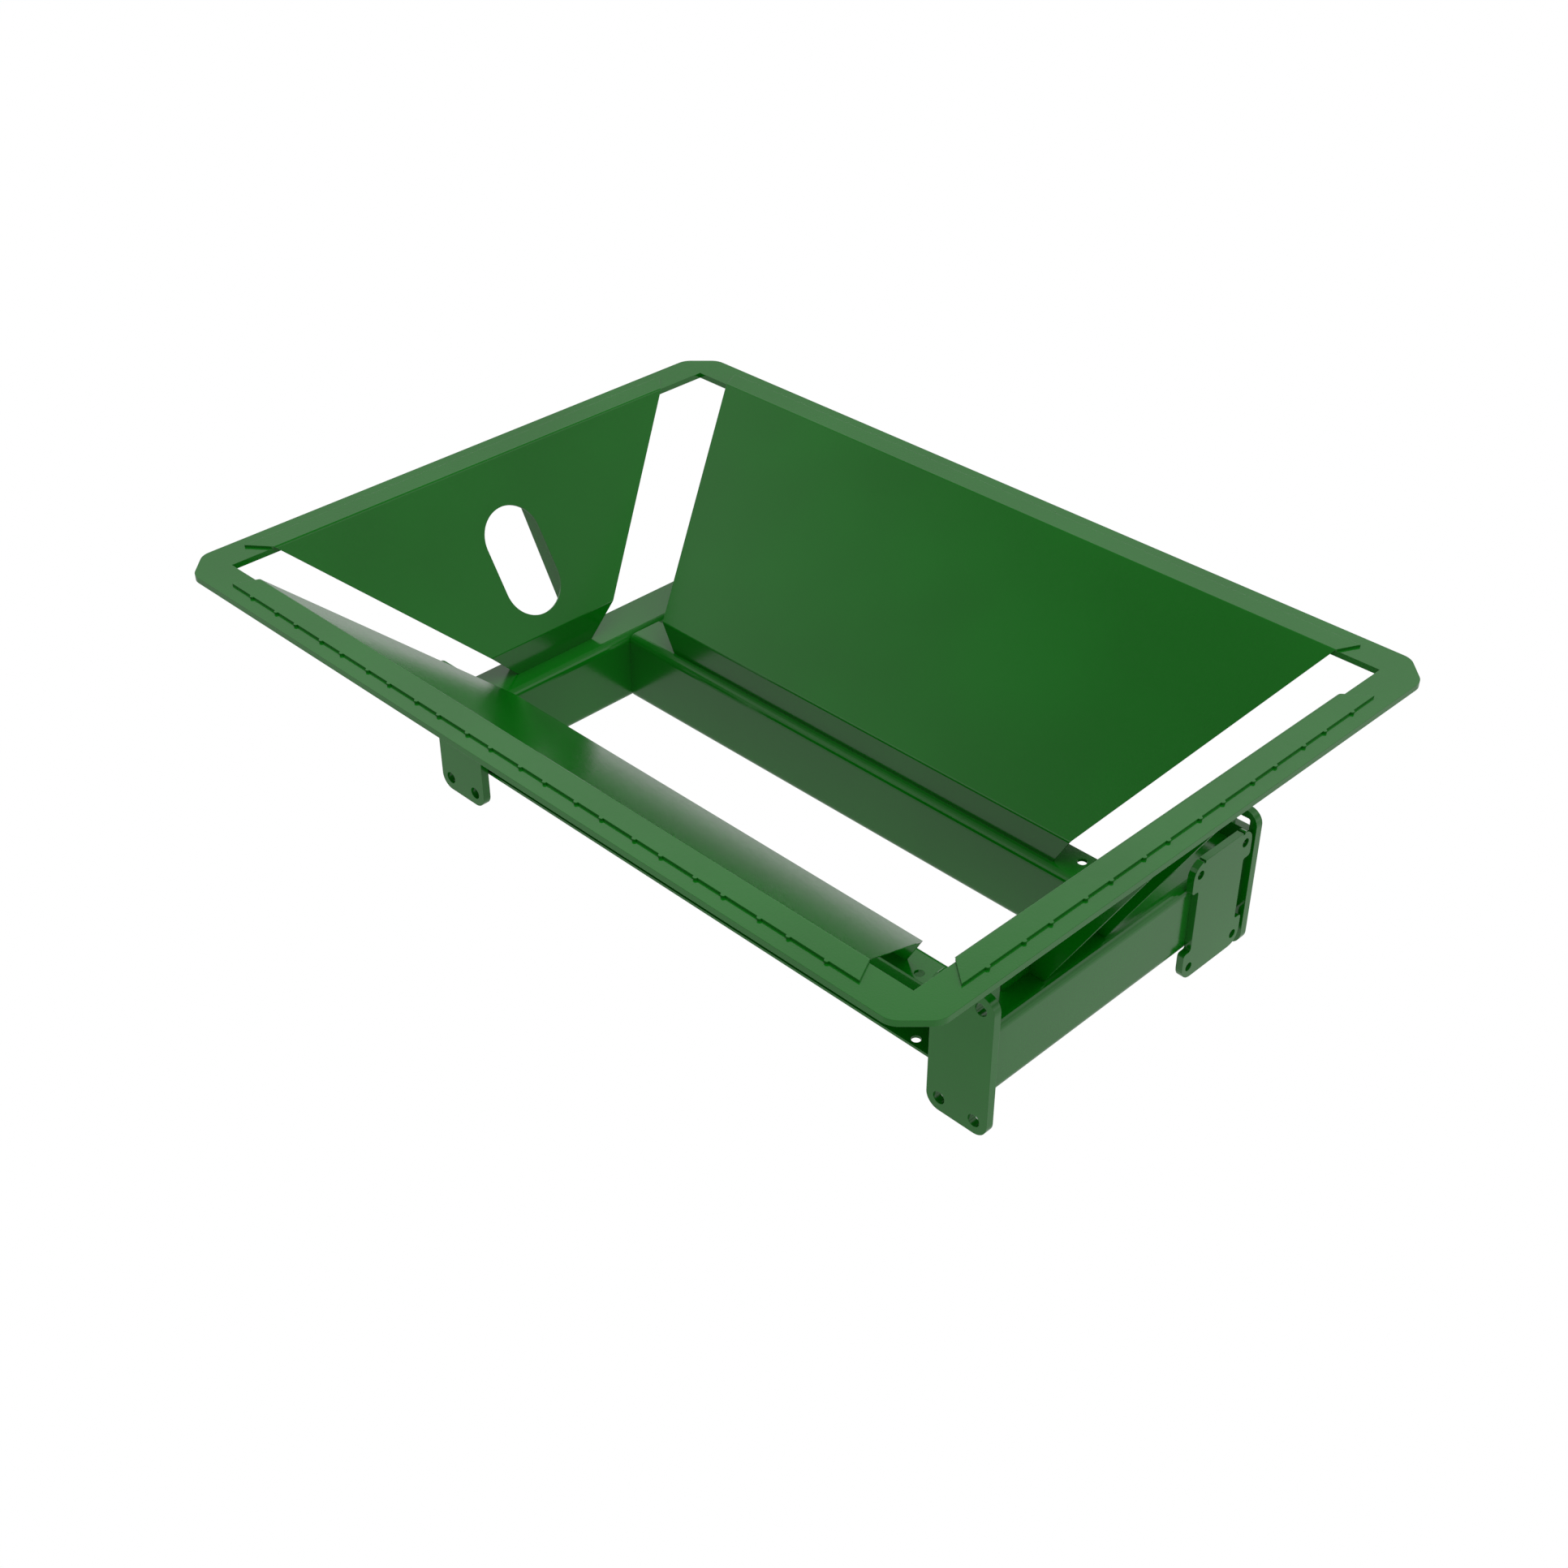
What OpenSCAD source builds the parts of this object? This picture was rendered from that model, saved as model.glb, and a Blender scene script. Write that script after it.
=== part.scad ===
// Hopper top of a gravity wagon: a flat rim plate, four folded panels that funnel down
// from it, and a base frame of bent channels with bolting plates at its corners.
// Left is -X, right is +X, front is -Y and back is +Y. The lowest edge is at z = 0.

/* [Rim plate] */
// Opening of the rim along X
rim_opening_l = 1200; // [980:10:1600]
// Opening of the rim along Y
rim_opening_w = 838; // [680:2:1100]
// Width of the rim's flat band
rim_band = 50; // [42:1:80]
// Thickness of the rim plate
rim_t = 8; // [5:0.5:12]
// Length cut from each side at the rim's corners
rim_chamfer = 37; // [22:1:60]
// Radius where a corner cut meets a side
rim_corner_r = 25; // [5:1:30]

/* [Folded panels] */
// Thickness of the panel sheet
sheet_t = 3; // [2:0.5:5]
// Inside radius of every panel bend
sheet_bend_r = 1.5; // [1:0.5:2.5]
// Width of the flange that lies on the rim
flange_w = 29; // [20:1:36]
// Clearance between the rim's inner edge and the sheet's inner bend corner
rim_clear = 1.5; // [1.5:0.5:4]
// Rim's top face above the base frame
hopper_depth = 267; // [220:5:400]
// Height of the upright lip under an end panel's lower bend
end_lip_h = 46; // [20:1:80]
// Height of the upright lip under a long panel's lower bend
long_lip_h = 42; // [20:1:80]

/* [Panel outlines] */
// Gap along an end panel's upper bend to the rim's front side
end_front_gap = 64; // [50:1:120]
// Gap along an end panel's upper bend to the rim's back side
end_back_gap = 83; // [50:1:120]
// Gap along a long panel's upper bend to each end of the rim
long_gap = 61; // [50:1:120]
// Gap along a long panel's lower bend to each end channel
long_bend_gap = 59; // [40:1:120]
// How far an end panel's lip narrows on each side down to its foot
end_lip_taper = 45; // [0:1:60]
// The same at the front side of the right panel's lip, which is cut squarer
right_lip_front_taper = 4; // [0:1:60]
// How far a long panel's lip narrows on each side down to its foot
long_lip_taper = 23; // [0:1:60]
// How far an end panel's flange widens on each side to its outer edge
end_flange_flare = 25; // [0:1:35]
// How far a long panel's flange widens on each side to its outer edge
long_flange_flare = 15; // [0:1:35]

/* [Round-ended slot] */
// Width of the slot in the left panel
slot_w = 94; // [60:1:98]
// Length of the slot down the panel's slope
slot_l = 163; // [110:1:200]
// Middle of the slot, down the slope from the upper bend
slot_down = 150; // [130:1:160]

/* [Flange nubs] */
// Radius of a nub on a flange's outer edge
nub_r = 3; // [2:0.5:4]
// Nub pairs on a long panel
long_nub_pairs = 11; // [1:1:11]
// First and last nub on a long panel from the ends of its flange
long_nub_margin = 45; // [10:0.1:80]
// Distance between the two nubs of a pair on a long panel
long_nub_pair_w = 54; // [20:1:60]
// Nub pairs on an end panel
end_nub_pairs = 7; // [1:1:7]
// First nub on an end panel from the flange's front end
end_nub_front_margin = 38.7; // [10:0.1:80]
// Last nub on an end panel from the flange's back end
end_nub_back_margin = 47.7; // [10:0.1:80]
// Distance between the two nubs of a pair on an end panel
end_nub_pair_w = 57; // [20:1:60]

/* [Base frame] */
// Clear length between the end channels
frame_inner_l = 872; // [740:2:940]
// Clear width between the long channels
frame_inner_w = 228; // [200:2:290]
// Height of the channels
channel_h = 108; // [80:1:140]
// Wall thickness of the channels
channel_t = 4; // [3:0.5:8]
// Outside radius of the channels' bends
channel_r = 12; // [9:1:20]
// Flange width of the front long channel
front_channel_w = 51; // [46:1:70]
// Flange width of the back long channel
back_channel_w = 58; // [46:1:70]
// Flange width of the end channels
end_channel_w = 72; // [60:1:90]
// How far the end channels run past the long channels at the front
front_overrun = 5; // [1:1:40]
// How far the end channels run past the long channels at the back
back_overrun = 157; // [140:1:250]
// Distance from an end channel's inner side to the end panel's lip
end_lip_seat = 33; // [22:1:40]
// Distance from the front long channel's web to the front panel's lip
front_lip_seat = 31; // [14:1:40]
// Distance from the back long channel's web to the back panel's lip
back_lip_seat = 14; // [12:1:40]
// Diameter of the holes through the long channels' flanges
flange_hole_d = 13; // [9:0.5:17]
// Flange holes from the ends of the long channels
flange_hole_inset = 55; // [20:1:60]
// Flange holes from the webs' backs
flange_hole_out = 40; // [30:1:42]

/* [Corner plates] */
// Width of a corner plate
corner_plate_w = 95; // [86:1:120]
// Height of a corner plate
corner_plate_h = 213; // [180:1:260]
// Thickness of a corner plate
corner_plate_t = 12; // [6:0.5:16]
// Corner radius of a corner plate
corner_plate_r = 20; // [10:1:30]
// Distance from each bolt hole's middle to the plate's sides
corner_hole_margin = 20; // [16:0.5:28]
// Diameter of the bolt holes, and width of the slots
corner_hole_d = 18; // [12:0.5:22]
// Length of the slots in the back plates
corner_slot_l = 28; // [23:1:34]
// Radius of the slots' corners
corner_slot_r = 3; // [1:0.5:5]
// How far a corner plate hangs below the base frame
corner_plate_drop = 52; // [30:1:80]

/* [Side plate] */
// Width of the side plate over its ears
side_plate_w = 123; // [110:1:140]
// Height of the side plate
side_plate_h = 185; // [180:1:230]
// Thickness of the side plate
side_plate_t = 10; // [6:0.5:16]
// Radius of the side plate's four outer corners
side_plate_r = 20; // [10:1:30]
// Side plate from the back end of its channel
side_plate_inset = 5; // [0:1:60]
// Depth of the recess in each upright side
side_recess = 14; // [6:1:20]
// Height of the recess, between the ears
side_recess_h = 97; // [60:1:100]
// Radius inside the recess's corners
side_recess_r = 4; // [1:0.5:5]
// Radius of the ears' tips
side_ear_r = 5; // [1:0.5:8]
// Width of the two nicks in the top edge
side_nick_w = 4; // [2:0.5:6]
// Depth of the two nicks in the top edge
side_nick_h = 3; // [2:0.5:6]
// Spacing of the side plate's holes along Y
side_hole_y = 95; // [80:1:96]
// Spacing of the side plate's holes along Z
side_hole_z = 148; // [130:1:150]
// Diameter of the side plate's holes
side_hole_d = 13; // [8:0.5:14]

/* [End ribs] */
// Thickness of a rib
rib_t = 6; // [4:0.5:10]
// Middle of a rib from the middle of the part, along Y
rib_y = 58; // [57.5:0.5:62]
// Free edge's lower end, in from the end channel's outer side
rib_foot_inset = 13; // [0:1:20]
// Free edge's upper end, in from the rim's outer edge
rib_top_inset = 5; // [0:1:30]
// Radius of the scallops that clear the panel's bends
rib_scallop_r = 6; // [5:0.5:10]

/* [Hidden] */

$fn = 48;
arc_steps = 6;
cut_margin = 5;

paint = [0.24, 0.45, 0.26];
paint_light = [0.30, 0.52, 0.34];
paint_dark = [0.16, 0.38, 0.18];

base_bottom = corner_plate_drop;
base_top = base_bottom + channel_h;
rim_top = base_top + hopper_depth;
panel_top = rim_top + sheet_t;

half_l = rim_opening_l / 2;
half_w = rim_opening_w / 2;

end_inner_x = frame_inner_l / 2;
end_outer_x = end_inner_x + end_channel_w;
long_web_y = frame_inner_w / 2;
end_front_y = long_web_y + front_channel_w + front_overrun;
end_back_y = long_web_y + back_channel_w + back_overrun;

end_lip_x = end_inner_x + end_lip_seat;
front_lip_y = long_web_y + front_lip_seat;
back_lip_y = long_web_y + back_lip_seat;
long_top_half = half_l - long_gap;
long_bend_half = end_inner_x - long_bend_gap;

// ---- Shared shapes ----

// Points of an arc from one angle to another; a negative radius puts it across the centre
function arc(centre, r, from, to) =
    [for (i = [0 : arc_steps])
        let (a = from + (to - from) * i / arc_steps)
            centre + r * [cos(a), sin(a)]];

function heading(p, q) = atan2(q[1] - p[1], q[0] - p[0]);
function turn(a, b) = (b - a + 540) % 360 - 180;
function left_of(a) = [-sin(a), cos(a)];
function reversed(v) = [for (i = [len(v) - 1 : -1 : 0]) v[i]];

// Arc of radius r at corner q of a path from p to s. Its centre is where a circle of
// radius outer_r touches both sides, on the left, or on the right if that is negative.
function bend(p, q, s, outer_r, r) =
    let (a = heading(p, q), da = turn(a, heading(q, s)),
         centre = q - outer_r * tan(da / 2) * [cos(a), sin(a)] + outer_r * left_of(a))
        arc(centre, r, a - 90, a - 90 + da);

// Outline with each corner rounded to its own radius
function rounded(points, radii) =
    let (n = len(points))
        [for (i = [0 : n - 1])
            let (p = points[(i + n - 1) % n], q = points[i], s = points[(i + 1) % n],
                 r = radii[i] * sign(turn(heading(p, q), heading(q, s))))
                each bend(p, q, s, r, r)];

// Section of a bent strip whose outer face runs through four corners, turning left
function strip(p, t, r) =
    let (first = left_of(heading(p[0], p[1])), last = left_of(heading(p[2], p[3])))
        concat([p[0]],
            bend(p[0], p[1], p[2], r + t, r + t),
            bend(p[1], p[2], p[3], r + t, r + t),
            [p[3], p[3] + t * last],
            reversed(bend(p[1], p[2], p[3], r + t, r)),
            reversed(bend(p[0], p[1], p[2], r + t, r)),
            [p[0] + t * first]);

// Extrudes an X-Z outline along Y, centred
module across_y(length) {
    rotate([90, 0, 0]) linear_extrude(length, center = true) children();
}

// Extrudes a Y-Z outline along X, centred
module across_x(length) {
    rotate([90, 0, 90]) linear_extrude(length, center = true) children();
}

// Rectangle with round corners, made of straight pieces and true circles
module round_rect(w, h, r) {
    square([w - 2 * r, h], center = true);
    square([w, h - 2 * r], center = true);
    for (x = [-1, 1], y = [-1, 1])
        translate([x * (w / 2 - r), y * (h / 2 - r)]) circle(r);
}

// ---- Rim plate ----

// Corners of a rectangle with half sides x and y, each cut back by c
function cut_corners(x, y, c) =
    [[x, c - y], [x, y - c], [x - c, y], [c - x, y],
     [-x, y - c], [-x, c - y], [c - x, -y], [x - c, -y]];

module rim_plate() color(paint_light)
    translate([0, 0, rim_top - rim_t]) linear_extrude(rim_t) difference() {
        polygon(rounded(cut_corners(half_l + rim_band, half_w + rim_band, rim_chamfer),
                        [for (i = [1 : 8]) rim_corner_r]));
        square([rim_opening_l, rim_opening_w], center = true);
    }

// ---- Folded panels ----

// Corners of a panel's upper face, from the flange's edge to the lip's foot, with the
// distance from the middle of the hopper first
function panel_section(rim_edge, lip, lip_h) =
    let (slope = atan2(hopper_depth - lip_h, rim_edge - lip),
         upper = rim_edge - rim_clear - sheet_t * tan(slope / 2))
        [[rim_edge + flange_w, panel_top], [upper, panel_top],
         [lip, base_top + lip_h], [lip, base_top]];

// Wall and lip seen from the middle of the hopper; top and foot may be wider on one side
module wall_outline(top_a, top_b, bend_half, foot_a, foot_b, lip_h) {
    polygon([[-top_a, panel_top], [-bend_half, base_top + lip_h], [-foot_a, base_top],
             [foot_b, base_top], [bend_half, base_top + lip_h], [top_b, panel_top]]);
}

// Flange seen from above, from just inside the rim's edge, where it joins the wall
module flange_outline(rim_edge, top_a, top_b, flare) {
    inner = rim_edge - rim_clear;
    outer = rim_edge + flange_w;
    polygon([[inner, -top_a], [outer, -top_a - flare], [outer, top_b + flare],
             [inner, top_b]]);
}

// Evenly spaced pairs of nubs from y = -reach_a to y = reach_b, half standing out of the
// flange's outer edge
module nubs(x, reach_a, reach_b, pairs, pair_w) {
    pitch = (reach_a + reach_b - pair_w) / max(pairs - 1, 1);
    for (i = [0 : pairs - 1], side = [-0.5, 0.5])
        translate([x, (reach_b - reach_a) / 2 + (i - (pairs - 1) / 2) * pitch + side * pair_w,
                   rim_top])
            cylinder(h = sheet_t, r = nub_r);
}

// Panel on the +X side of an opening that reaches rim_edge
module panel(rim_edge, lip, lip_h, top_a, top_b, bend_half, foot_a, foot_b, flare) {
    intersection() {
        across_y(top_a + top_b + 4 * flare)
            polygon(strip(panel_section(rim_edge, lip, lip_h), sheet_t, sheet_bend_r));
        union() {
            across_x(2 * rim_edge) wall_outline(top_a, top_b, bend_half, foot_a, foot_b, lip_h);
            translate([0, 0, rim_top]) linear_extrude(sheet_t)
                flange_outline(rim_edge, top_a, top_b, flare);
        }
    }
}

module end_panel(front_taper) {
    panel(half_l, end_lip_x, end_lip_h, half_w - end_front_gap, half_w - end_back_gap,
          long_web_y, long_web_y - front_taper, long_web_y - end_lip_taper, end_flange_flare);
    nubs(half_l + flange_w, half_w - end_front_gap + end_flange_flare - end_nub_front_margin,
         half_w - end_back_gap + end_flange_flare - end_nub_back_margin,
         end_nub_pairs, end_nub_pair_w);
}

// Round-ended cutter square to the left panel's wall, along the panel's own middle line,
// which runs from the middle of its upper bend to the middle of its lower bend
module slot_cut() {
    section = panel_section(half_l, end_lip_x, end_lip_h);
    slope = heading(section[2], section[1]);
    top_middle = (end_front_gap - end_back_gap) / 2;
    swing = atan2(-top_middle, norm(section[1] - section[2]));
    translate([-section[1][0], top_middle, panel_top]) rotate([0, slope, 0]) rotate(swing)
        translate([slot_down, 0, 0]) linear_extrude(8 * cut_margin, center = true) {
            square([slot_l - slot_w, slot_w], center = true);
            for (end = [-1, 1]) translate([end * (slot_l - slot_w) / 2, 0]) circle(d = slot_w);
        }
}

module end_panel_left() color(paint) difference() {
    mirror([1, 0, 0]) end_panel(end_lip_taper);
    slot_cut();
}

module end_panel_right() color(paint) end_panel(right_lip_front_taper);

module long_panel(lip) {
    foot_half = long_bend_half - long_lip_taper;
    panel(half_w, lip, long_lip_h, long_top_half, long_top_half, long_bend_half,
          foot_half, foot_half, long_flange_flare);
    reach = long_top_half + long_flange_flare - long_nub_margin;
    nubs(half_w + flange_w, reach, reach, long_nub_pairs, long_nub_pair_w);
}

module long_panel_front() color(paint) rotate(-90) long_panel(front_lip_y);

module long_panel_back() color(paint_dark) rotate(90) long_panel(back_lip_y);

// ---- Base frame ----

// Section of a channel with its web on u = 0 and its flanges running to u = -w
module channel_section(w) {
    polygon(strip([[-w, base_bottom], [0, base_bottom], [0, base_top], [-w, base_top]],
                  channel_t, channel_r - channel_t));
}

module end_channel(web_x) color(paint_light)
    translate([web_x, (end_back_y - end_front_y) / 2, 0])
        across_y(end_back_y + end_front_y) channel_section(end_channel_w);

module base_end_left() end_channel(-end_inner_x);

module base_end_right() end_channel(end_outer_x);

// Long channel on the front side, with its web facing the middle
module long_channel(w) difference() {
    translate([0, -long_web_y, 0]) across_x(frame_inner_l) channel_section(w);
    for (end = [-1, 1])
        translate([end * (end_inner_x - flange_hole_inset), -long_web_y - flange_hole_out,
                   base_bottom - cut_margin])
            cylinder(h = channel_h + 2 * cut_margin, d = flange_hole_d);
}

module base_long_front() color(paint) long_channel(front_channel_w);

module base_long_back() color(paint) mirror([0, 1, 0]) long_channel(back_channel_w);

// ---- Corner plates ----

// Bolting plate on one end of an end channel, with round holes or slots
module corner_plate(side, y, slotted) color(paint)
    translate([side * (end_inner_x + end_channel_w / 2), y, corner_plate_h / 2])
        rotate([90, 0, 0]) linear_extrude(corner_plate_t, center = true) difference() {
            round_rect(corner_plate_w, corner_plate_h, corner_plate_r);
            for (x = [-1, 1], z = [-1, 1])
                translate([x * (corner_plate_w / 2 - corner_hole_margin),
                           z * (corner_plate_h / 2 - corner_hole_margin)])
                    if (slotted)
                        translate([x * (corner_hole_d - corner_slot_l) / 2, 0])
                            round_rect(corner_slot_l, corner_hole_d, corner_slot_r);
                    else
                        circle(d = corner_hole_d);
        }

front_plate_y = -end_front_y - corner_plate_t / 2;
back_plate_y = end_back_y + corner_plate_t / 2;

module corner_plate_front_left() corner_plate(-1, front_plate_y, false);

module corner_plate_front_right() corner_plate(1, front_plate_y, false);

module corner_plate_back_left() corner_plate(-1, back_plate_y, true);

module corner_plate_back_right() corner_plate(1, back_plate_y, true);

// ---- Side plate ----

// Outline with an ear at each corner, left by a recess in each upright side
module side_plate_outline() {
    x = side_plate_w / 2;
    y = side_plate_h / 2;
    neck = x - side_recess;
    ear = side_recess_h / 2;
    polygon(rounded(
        [[-x, -y], [x, -y], [x, -ear], [neck, -ear], [neck, ear], [x, ear],
         [x, y], [-x, y], [-x, ear], [-neck, ear], [-neck, -ear], [-x, -ear]],
        [side_plate_r, side_plate_r, side_ear_r, side_recess_r, side_recess_r, side_ear_r,
         side_plate_r, side_plate_r, side_ear_r, side_recess_r, side_recess_r, side_ear_r]));
}

module side_plate() color(paint_light)
    translate([end_outer_x + side_plate_t / 2, end_back_y - side_plate_inset - side_plate_w / 2,
               base_bottom + channel_h / 2])
        rotate([90, 0, 90]) linear_extrude(side_plate_t, center = true) difference() {
            side_plate_outline();
            for (y = [-1, 1]) {
                translate([y * (side_plate_w / 2 - side_plate_r), side_plate_h / 2])
                    square([side_nick_w, 2 * side_nick_h], center = true);
                for (z = [-1, 1])
                    translate([y * side_hole_y / 2, z * side_hole_z / 2])
                        circle(d = side_hole_d);
            }
        }

// ---- End ribs ----

// Upright rib between the right panel, the rim and the right end channel
module end_rib(y) {
    section = panel_section(half_l, end_lip_x, end_lip_h);
    slope = heading(section[2], section[1]);
    low = [section[2][0] + sheet_t, section[2][1] - sheet_t * tan(45 - slope / 2)];
    top_z = rim_top - rim_t;
    high = [low[0] + (top_z - low[1]) / tan(slope), top_z];
    translate([0, y, 0]) across_y(rib_t) difference() {
        polygon([high, low, [low[0], base_top], [end_outer_x - rib_foot_inset, base_top],
                 [half_l + rim_band - rib_top_inset, top_z]]);
        for (corner = [high, low]) translate(corner) circle(rib_scallop_r);
    }
}

module end_rib_left_front() color(paint_dark) mirror([1, 0, 0]) end_rib(-rib_y);

module end_rib_left_back() color(paint_dark) mirror([1, 0, 0]) end_rib(rib_y);

module end_rib_right_front() color(paint_dark) end_rib(-rib_y);

module end_rib_right_back() color(paint_dark) end_rib(rib_y);

// ---- Nodes ----

rim_plate();
end_panel_left();
end_panel_right();
long_panel_front();
long_panel_back();
base_end_left();
base_end_right();
base_long_front();
base_long_back();
corner_plate_front_left();
corner_plate_front_right();
corner_plate_back_left();
corner_plate_back_right();
side_plate();
end_rib_left_front();
end_rib_left_back();
end_rib_right_front();
end_rib_right_back();
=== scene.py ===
from math import radians

import bmesh
import bpy
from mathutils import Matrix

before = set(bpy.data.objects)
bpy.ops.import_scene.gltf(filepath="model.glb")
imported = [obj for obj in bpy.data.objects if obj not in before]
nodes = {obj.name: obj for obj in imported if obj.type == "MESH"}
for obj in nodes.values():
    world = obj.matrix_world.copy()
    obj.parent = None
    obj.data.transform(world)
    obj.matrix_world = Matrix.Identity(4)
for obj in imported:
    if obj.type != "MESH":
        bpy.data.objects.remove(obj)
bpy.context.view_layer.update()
scene = bpy.context.scene

# ---- Camera ----
# A 50 mm lens on a full-frame body, held high off the front right corner, so that the
# three directions of the frame are equally foreshortened. It aims at the outlet.
camera_data = bpy.data.cameras.new("camera")
camera_data.lens = 50
camera_data.sensor_width = 36
camera_data.clip_end = 50
camera = bpy.data.objects.new("camera", camera_data)
camera.location = (1.6675, -1.6673, 1.8348)
camera.rotation_euler = (radians(54.7356), 0, radians(45))
scene.collection.objects.link(camera)
scene.camera = camera

# ---- Paint ----
# Every piece is shot-blasted steel under one coat of green polyester powder, electro-
# statically sprayed and oven-baked after welding. It cures to a hard, smooth semi-gloss
# skin of about 0.1 mm, which rounds off the cut edges and dries with a faint orange peel.


def linear(hex_colour):
    """An sRGB hex colour as a linear RGBA tuple."""
    channels = [int(hex_colour[i:i + 2], 16) / 255 for i in (1, 3, 5)]
    return (*[c / 12.92 if c <= 0.04045 else ((c + 0.055) / 1.055) ** 2.4 for c in channels], 1)


def add(tree, kind, links=(), **settings):
    """Adds a node: settings name its properties or, failing that, its input sockets, and
    links pair an input with the output that feeds it."""
    node = tree.nodes.new(kind)
    for name, value in settings.items():
        if hasattr(node, name):
            setattr(node, name, value)
        else:
            node.inputs[name.replace("_", " ")].default_value = value
    for socket, source in links:
        tree.links.new(source, node.inputs[socket])
    return node


def powder_coat(name, peel=0.0022, depth=0.00005, edge=0.0008):
    """Semi-gloss green powder coat. The eye gets mirror-like but slightly soft reflections,
    a fine orange peel that breaks them up, and a bright line where a cut edge turns. The
    peel's wave, its height and the radius of the coat on an edge are in metres."""
    material = bpy.data.materials.new(name)
    material.use_nodes = True
    tree = material.node_tree
    tree.nodes.clear()
    place = add(tree, "ShaderNodeTexCoord").outputs["Object"]

    # Film thickness, and the colour with it, drifts over the width that the gun covers
    gun_pass = 0.22
    film = add(tree, "ShaderNodeTexNoise", [("Vector", place)], Scale=1 / gun_pass, Detail=2.0)
    colour = add(tree, "ShaderNodeValToRGB", [("Fac", film.outputs["Fac"])])
    colour.color_ramp.elements[0].position = 0.35
    colour.color_ramp.elements[0].color = linear("#006406")
    colour.color_ramp.elements[1].position = 0.65
    colour.color_ramp.elements[1].color = linear("#006A09")

    # Gloss varies with the grain of the powder, in patches of 9 mm
    patch = 0.009
    grain = add(tree, "ShaderNodeTexNoise", [("Vector", place)], Scale=1 / patch, Detail=3.0)
    gloss = add(tree, "ShaderNodeMapRange", [("Value", grain.outputs["Fac"])],
                To_Min=0.12, To_Max=0.19)

    # Orange peel, with the 2 mm waves of a coat that is sprayed thick
    waves = add(tree, "ShaderNodeTexNoise", [("Vector", place)], Scale=1 / peel, Detail=1.5)
    rounded = add(tree, "ShaderNodeBevel", samples=6, Radius=edge)
    bump = add(tree, "ShaderNodeBump",
               [("Height", waves.outputs["Fac"]), ("Normal", rounded.outputs["Normal"])],
               Strength=1.0, Distance=depth)
    skin = add(tree, "ShaderNodeBsdfPrincipled",
               [("Base Color", colour.outputs["Color"]), ("Roughness", gloss.outputs["Result"]),
                ("Normal", bump.outputs["Normal"])], IOR=1.56)
    add(tree, "ShaderNodeOutputMaterial", [("Surface", skin.outputs["BSDF"])])
    return material


def paint(node, material):
    """Puts the paint in a CAD node's material slot."""
    slots = nodes[node].data.materials
    slots.clear()
    slots.append(material)


# ---- Rim plate ----
# One flat ring cut from 8 mm plate with a plasma torch, which leaves its corners round.
rim_paint = powder_coat("powder_coat_on_cut_plate")
paint("rim_plate", rim_paint)

# ---- Folded panels ----
# Four 3 mm cold-rolled sheets, cut by laser and bent twice on a press brake. The flange
# lies on the rim, and small nubs left by the cutting stand out of its edge.
panel_paint = powder_coat("powder_coat_on_folded_sheet", edge=0.0006)
for node in ("end_panel_left", "end_panel_right", "long_panel_front", "long_panel_back"):
    paint(node, panel_paint)

# ---- Base frame ----
# Four channels bent from 4 mm plate, so that their outer bends are wide and smooth.
channel_paint = powder_coat("powder_coat_on_bent_channel")
for node in ("base_end_left", "base_end_right", "base_long_front", "base_long_back"):
    paint(node, channel_paint)

# ---- Bolting plates ----
# Four corner plates of 12 mm and one side plate of 10 mm. Each is cut and drilled, then
# welded to the channels.
plate_paint = powder_coat("powder_coat_on_bolting_plate")
for node in nodes:
    if "plate" in node and node != "rim_plate":
        paint(node, plate_paint)

# ---- End ribs ----
# Upright gussets of 6 mm plate that hold the rim up off the end channels. They are welded
# along the end panels' undersides.
rib_paint = powder_coat("powder_coat_on_rib")
for node in nodes:
    if node.startswith("end_rib"):
        paint(node, rib_paint)

# ---- Floor ----
# A sheet of white opal acrylic, lit from below. The camera sees it as plain white. Its
# even light on the part is dimmer, and so is what the paint mirrors of it, which is
# brighter off the part's far right side. The three levels are set one by one.
opal = bpy.data.materials.new("opal_acrylic")
opal.use_nodes = True
tree = opal.node_tree
tree.nodes.clear()
# How far a point lies towards the far right corner, in metres
spot = add(tree, "ShaderNodeVectorMath",
           [(0, add(tree, "ShaderNodeTexCoord").outputs["Object"])], operation="DOT_PRODUCT")
spot.inputs[1].default_value = (0.7, 0.7, 0)
below = add(tree, "ShaderNodeMapRange", [("Value", spot.outputs["Value"])],
            From_Min=0.1, From_Max=0.45, To_Min=0.52, To_Max=0.65)
ray = add(tree, "ShaderNodeLightPath")
soft = add(tree, "ShaderNodeMix", [("Factor", ray.outputs["Is Glossy Ray"]),
                                   (3, below.outputs["Result"])])
soft.inputs[2].default_value = 0.74
level = add(tree, "ShaderNodeMix", [("Factor", ray.outputs["Is Camera Ray"]),
                                    (2, soft.outputs[0])])
level.inputs[3].default_value = 1.0
glow = add(tree, "ShaderNodeEmission", [("Strength", level.outputs[0])],
           Color=linear("#FFFFFF"))
add(tree, "ShaderNodeOutputMaterial", [("Surface", glow.outputs["Emission"])])

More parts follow.
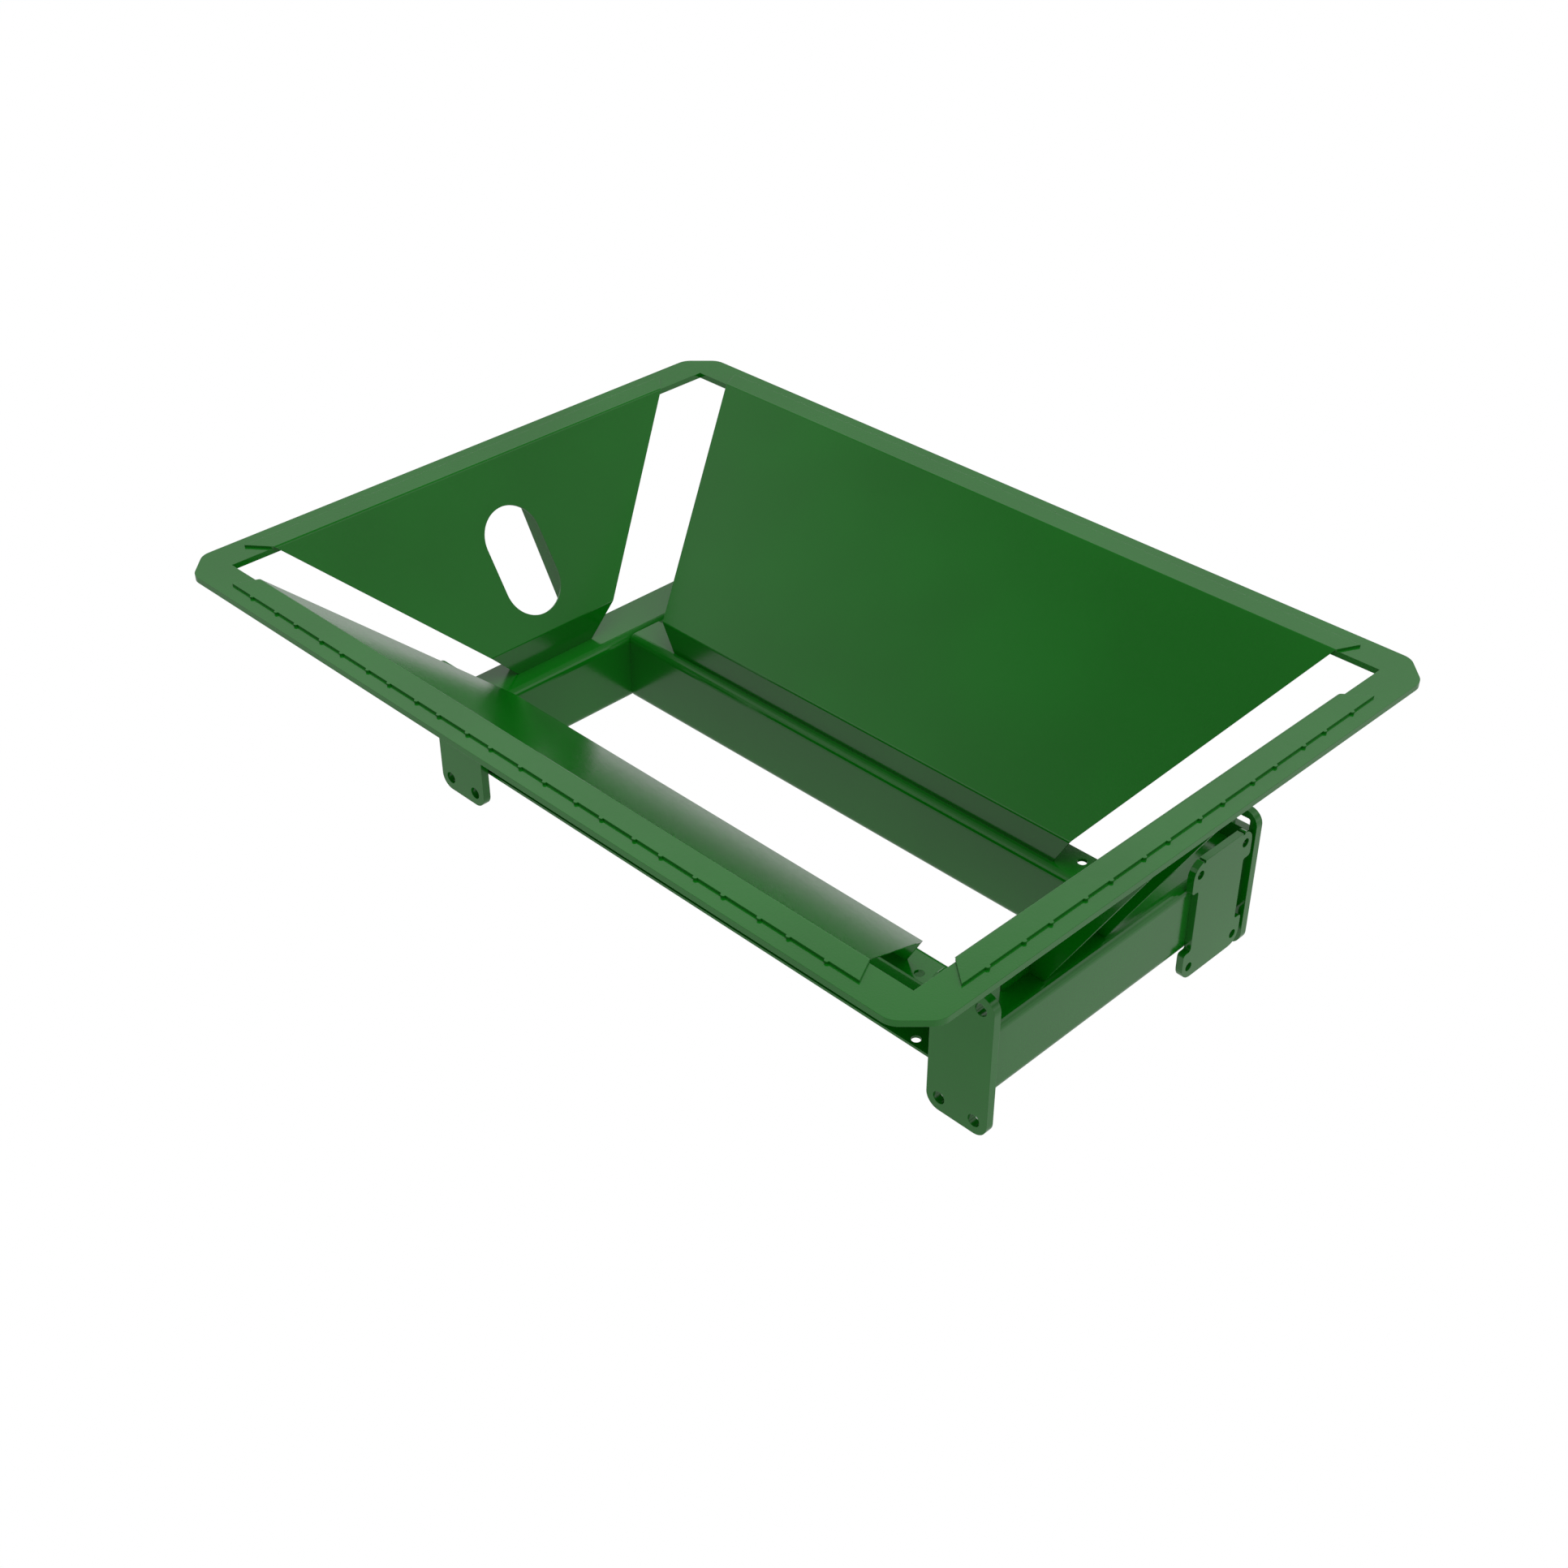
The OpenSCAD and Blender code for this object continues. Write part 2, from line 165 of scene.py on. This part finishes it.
floor_mesh = bmesh.new()
bmesh.ops.create_grid(floor_mesh, x_segments=1, y_segments=1, size=8)
floor_data = bpy.data.meshes.new("floor")
floor_mesh.to_mesh(floor_data)
floor_mesh.free()
floor_data.materials.append(opal)
floor = bpy.data.objects.new("floor", floor_data)
scene.collection.objects.link(floor)

# ---- Studio ----
# Pale walls all round, with a row of soft boxes a third of the way up and a ceiling that
# is darker overhead. The paint mirrors these. Its body colour is lit by the even light
# that they give together, and by a wide lamp above that is kept out of the reflections.
# What the camera sees behind the part is plain white.
world = bpy.data.worlds.new("studio")
scene.world = world
world.use_nodes = True
sky = world.node_tree
sky.nodes.clear()
height = add(sky, "ShaderNodeSeparateXYZ",
             [("Vector", add(sky, "ShaderNodeTexCoord").outputs["Generated"])])
mirrored = add(sky, "ShaderNodeValToRGB", [("Fac", height.outputs["Z"])])
mirrored.color_ramp.elements[1].position = 0.80
for position in (0.40, 0.58, 0.70):
    mirrored.color_ramp.elements.new(position)
# Horizon, dim band, soft boxes, upper wall and ceiling
for stop, grey in zip(mirrored.color_ramp.elements, (1.1, 0.36, 1.1, 0.60, 0.20)):
    stop.color = (grey, grey, grey, 1)
ray = add(sky, "ShaderNodeLightPath")
soft = add(sky, "ShaderNodeMix", [("Factor", ray.outputs["Is Glossy Ray"]),
                                  (3, mirrored.outputs["Color"])])
soft.inputs[2].default_value = 0.62
level = add(sky, "ShaderNodeMix", [("Factor", ray.outputs["Is Camera Ray"]),
                                   (2, soft.outputs[0])])
level.inputs[3].default_value = 1.0
light = add(sky, "ShaderNodeBackground", [("Strength", level.outputs[0])])
light.inputs["Color"].default_value = (1, 1, 1, 1)
add(sky, "ShaderNodeOutputWorld", [("Surface", light.outputs["Background"])])
# Only rays that the paint sends out meet the walls, so each finds its own level
world.cycles.sampling_method = "NONE"

lamp_data = bpy.data.lights.new("ceiling_lamp", "SUN")
lamp_data.energy = 1.15
lamp_data.angle = radians(60)
lamp = bpy.data.objects.new("ceiling_lamp", lamp_data)
lamp.rotation_euler = (radians(-12), radians(14), 0)
lamp.visible_glossy = False
scene.collection.objects.link(lamp)

scene.view_settings.view_transform = "Standard"
